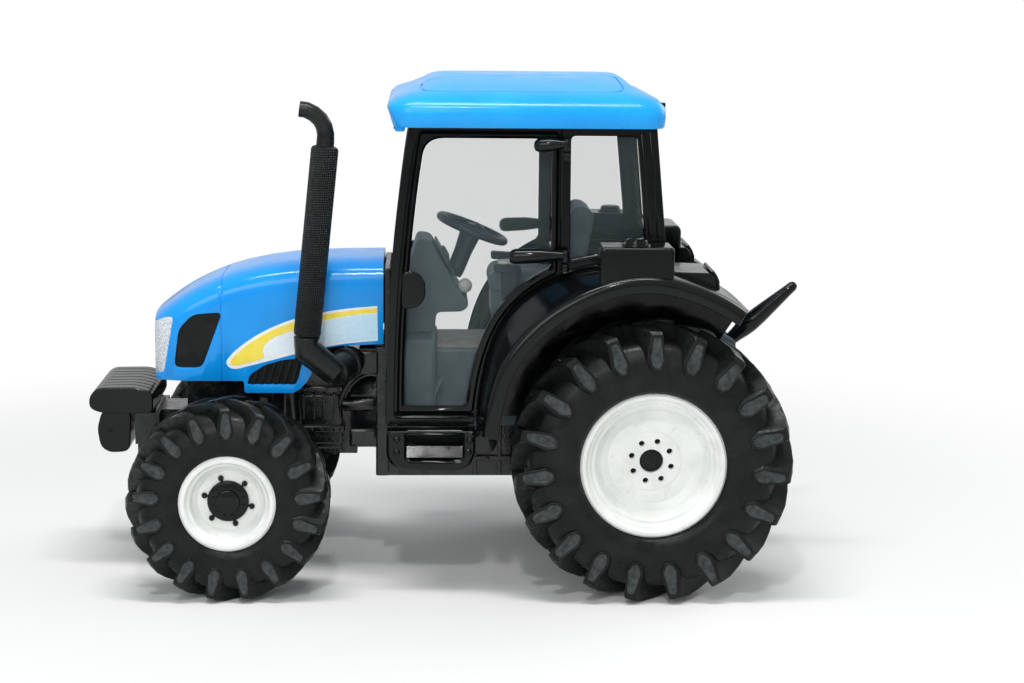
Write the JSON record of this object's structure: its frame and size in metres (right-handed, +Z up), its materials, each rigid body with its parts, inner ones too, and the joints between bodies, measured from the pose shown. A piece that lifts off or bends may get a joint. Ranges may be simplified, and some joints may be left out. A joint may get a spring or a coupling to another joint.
{
  "type": "toy farm tractor with cab",
  "caption": "Toy farm tractor: blue bonnet and roof, black cab and fenders, white rims, free-rolling steered wheels, opening doors and rear linkage.",
  "frame": {"origin": "on the ground, below the middle of the length and width", "axes": "+X forward, +Y to the left side of the tractor, +Z up"},
  "size_m": [0.12, 0.0576, 0.0831],
  "materials": {
    "blue_enamel": "gloss",
    "black_plastic": "gloss",
    "black_casting": "semi-gloss",
    "matt_black": "matte",
    "tyre_vinyl": "satin",
    "white_plastic": "gloss",
    "grey_plastic": "satin",
    "dark_grey_plastic": "satin",
    "silver_plastic": "metallic",
    "clear_styrene": "clear"
  },
  "bodies": {
    "chassis": {"front_axle": "black_casting", "front_support": "black_casting", "engine": "black_casting", "transmission": "black_casting", "front_weights": "black_plastic", "bonnet": "blue_enamel", "side_grille_left": "matt_black", "side_grille_right": "matt_black", "bonnet_louvre_left": "matt_black", "bonnet_louvre_right": "matt_black", "headlamp_left": "silver_plastic", "headlamp_right": "silver_plastic", "front_grille": "matt_black", "exhaust_muffler": "matt_black", "exhaust_elbow": "matt_black", "fender_left": "black_plastic", "fender_right": "black_plastic", "cab_side_left": "black_plastic", "cab_side_right": "black_plastic", "quarter_glass_left": "clear_styrene", "quarter_glass_right": "clear_styrene", "front_frame": "black_plastic", "windscreen": "clear_styrene", "rear_frame": "black_plastic", "rear_window": "clear_styrene", "roof": "blue_enamel", "cab_tub": "grey_plastic", "dashboard": "grey_plastic", "steering_wheel": "dark_grey_plastic", "seat": "grey_plastic", "step_left": "black_plastic", "step_right": "black_plastic", "link_bracket": "grey_plastic"},
    "knuckle_left": {"knuckle_left": "black_casting"},
    "front_wheel_left": {"front_tyre_left": "tyre_vinyl", "front_rim_left": "white_plastic", "front_hub_left": "black_plastic"},
    "rear_wheel_left": {"rear_tyre_left": "tyre_vinyl", "rear_rim_left": "white_plastic"},
    "door_left": {"door_frame_left": "black_plastic", "door_glass_left": "clear_styrene"},
    "knuckle_right": {"knuckle_right": "black_casting"},
    "front_wheel_right": {"front_tyre_right": "tyre_vinyl", "front_rim_right": "white_plastic", "front_hub_right": "black_plastic"},
    "rear_wheel_right": {"rear_tyre_right": "tyre_vinyl", "rear_rim_right": "white_plastic"},
    "door_right": {"door_frame_right": "black_plastic", "door_glass_right": "clear_styrene"},
    "tie_rod": {"tie_rod": "black_casting"},
    "top_link": {"top_link": "black_plastic"},
    "lower_links": {"lower_link_left": "black_plastic", "lower_link_right": "black_plastic"}
  },
  "joints": [
    {"name": "rear_wheel_left_spin", "type": "hinge", "parent": "chassis", "child": "rear_wheel_left", "pos_m": [-0.03145, 0.02225, 0.0225], "axis": [0, 1, 0], "continuous": true},
    {"name": "rear_wheel_right_spin", "type": "hinge", "parent": "chassis", "child": "rear_wheel_right", "pos_m": [-0.03145, -0.02225, 0.0225], "axis": [0, 1, 0], "continuous": true},
    {"name": "steer_left", "type": "hinge", "parent": "chassis", "child": "knuckle_left", "pos_m": [0.03605, 0.0152, 0.0162], "axis": [0, 0, 1], "range_deg": [-28, 28]},
    {"name": "front_wheel_left_spin", "type": "hinge", "parent": "knuckle_left", "child": "front_wheel_left", "pos_m": [0.03605, 0.0225, 0.0162], "axis": [0, 1, 0], "continuous": true},
    {"name": "steer_right", "type": "hinge", "parent": "chassis", "child": "knuckle_right", "pos_m": [0.03605, -0.0152, 0.0162], "axis": [0, 0, 1], "range_deg": [-28, 28]},
    {"name": "front_wheel_right_spin", "type": "hinge", "parent": "knuckle_right", "child": "front_wheel_right", "pos_m": [0.03605, -0.0225, 0.0162], "axis": [0, 1, 0], "continuous": true},
    {"name": "tie_rod_shift", "type": "slide", "parent": "chassis", "child": "tie_rod", "axis": [0, 1, 0], "range_m": [-0.002, 0.002]},
    {"name": "door_left_swing", "type": "hinge", "parent": "chassis", "child": "door_left", "pos_m": [-0.01735, 0.0218, 0.05], "axis": [0, 0, 1], "range_deg": [0, 70]},
    {"name": "door_right_swing", "type": "hinge", "parent": "chassis", "child": "door_right", "pos_m": [-0.01735, -0.0218, 0.05], "axis": [0, 0, -1], "range_deg": [0, 70]},
    {"name": "top_link_tilt", "type": "hinge", "parent": "chassis", "child": "top_link", "pos_m": [-0.04595, 0, 0.0372], "axis": [0, 1, 0], "range_deg": [-50, 30]},
    {"name": "lower_links_lift", "type": "hinge", "parent": "chassis", "child": "lower_links", "pos_m": [-0.03745, 0, 0.0122], "axis": [0, 1, 0], "range_deg": [-5, 25]}
  ],
  "couplings": [
    {"joint": "steer_right", "follows": "steer_left", "ratio": 1},
    {"joint": "tie_rod_shift", "follows": "steer_left", "m_per_rad": -0.004}
  ]
}
